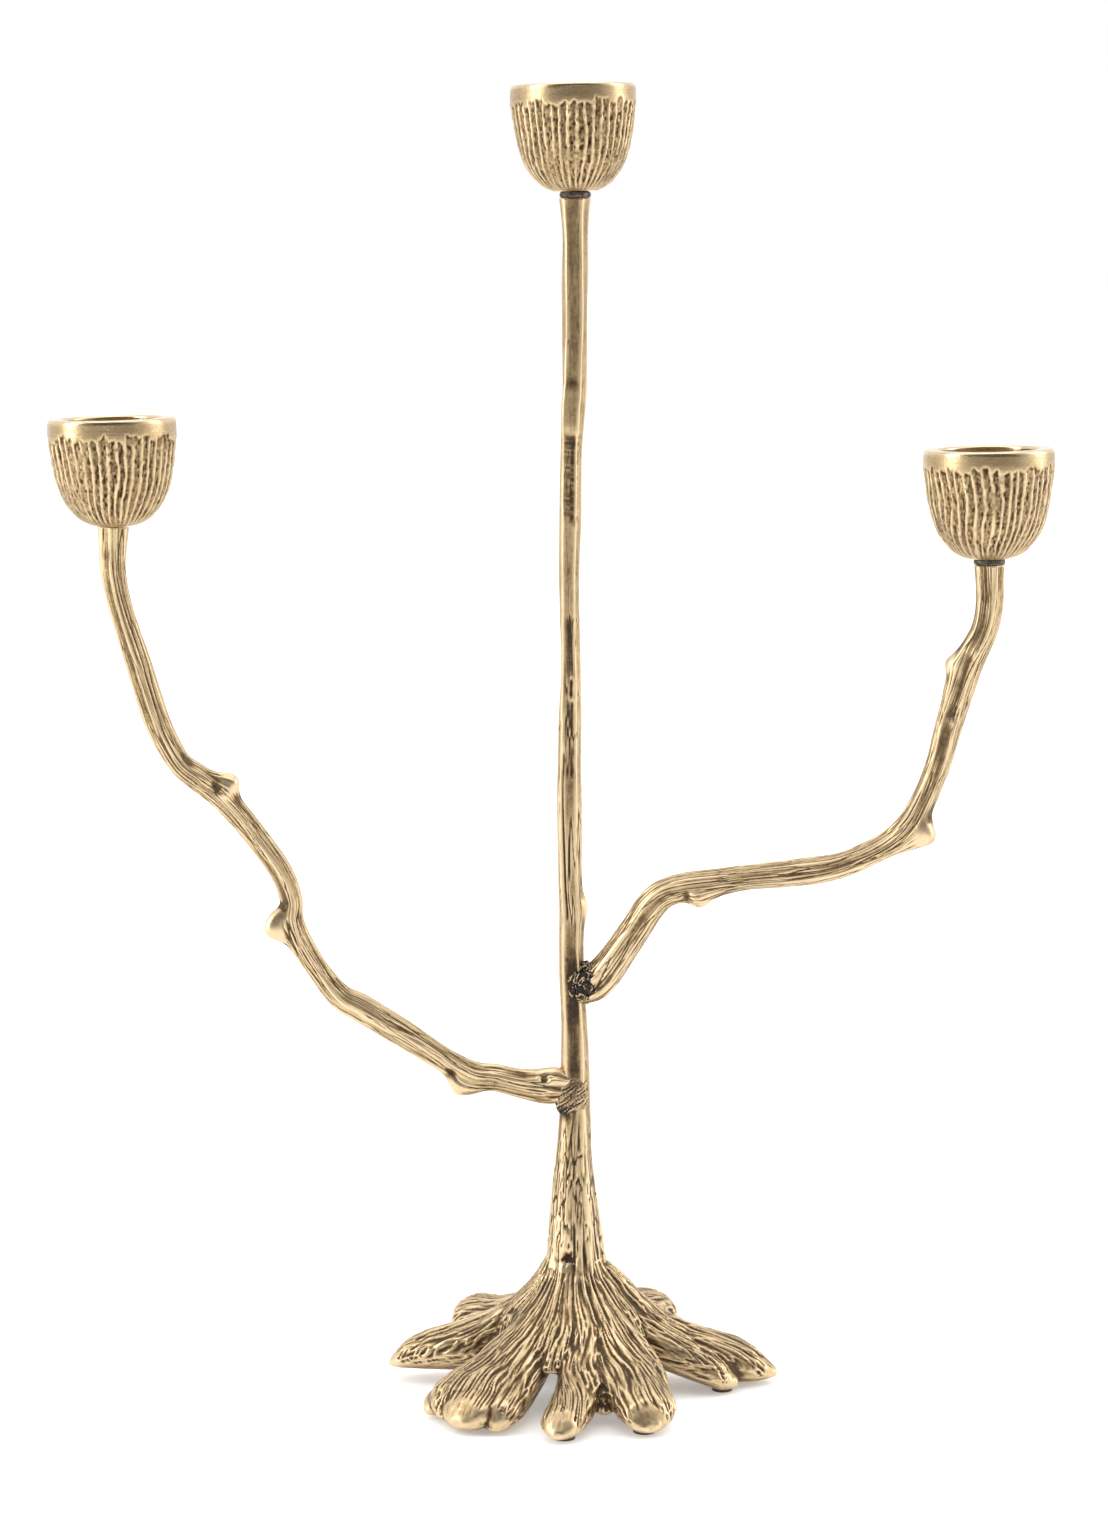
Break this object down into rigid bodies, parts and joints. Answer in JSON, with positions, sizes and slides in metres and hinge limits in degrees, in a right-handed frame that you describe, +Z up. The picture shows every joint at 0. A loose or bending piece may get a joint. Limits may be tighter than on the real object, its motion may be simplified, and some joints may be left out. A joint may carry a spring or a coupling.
{
  "type": "tabletop candelabra",
  "caption": "Tabletop candelabra cast as a bare tree: a spreading root foot, a slim trunk and bent branches that end in ribbed bowl-shaped cups with tea-light bores.",
  "frame": {"origin": "under the middle of the whole object's bounding box, on the plane that the felt pads stand on", "axes": "+Z up along the trunk, +X towards the right-hand branch, +Y away from the viewer"},
  "size_m": [0.4078, 0.16, 0.5509],
  "materials": {
    "cast_brass": "antique satin with dark recesses",
    "cup_brass": "brushed rim over ribbed antique satin",
    "braze": "rough dark filler",
    "solder": "dull grey solder",
    "screw_brass": "satin",
    "steel": "zinc plated",
    "felt": "felt"
  },
  "bodies": {
    "root": {"root_base": "cast_brass", "trunk": "cast_brass", "left_arm": "cast_brass", "right_arm": "cast_brass", "left_arm_braze": "braze", "right_arm_braze": "braze", "base_bolt": "steel", "base_washer": "steel", "centre_cup": "cup_brass", "centre_cup_screw": "screw_brass", "centre_cup_washer": "screw_brass", "centre_solder_ring": "solder", "left_cup": "cup_brass", "left_cup_screw": "screw_brass", "left_cup_washer": "screw_brass", "right_cup": "cup_brass", "right_cup_screw": "screw_brass", "right_cup_washer": "screw_brass", "right_solder_ring": "solder", "back_left_pad": "felt", "front_left_pad": "felt", "front_middle_pad": "felt", "front_right_pad": "felt", "right_pad": "felt", "back_right_pad": "felt", "back_middle_pad": "felt"}
  },
  "joints": []
}
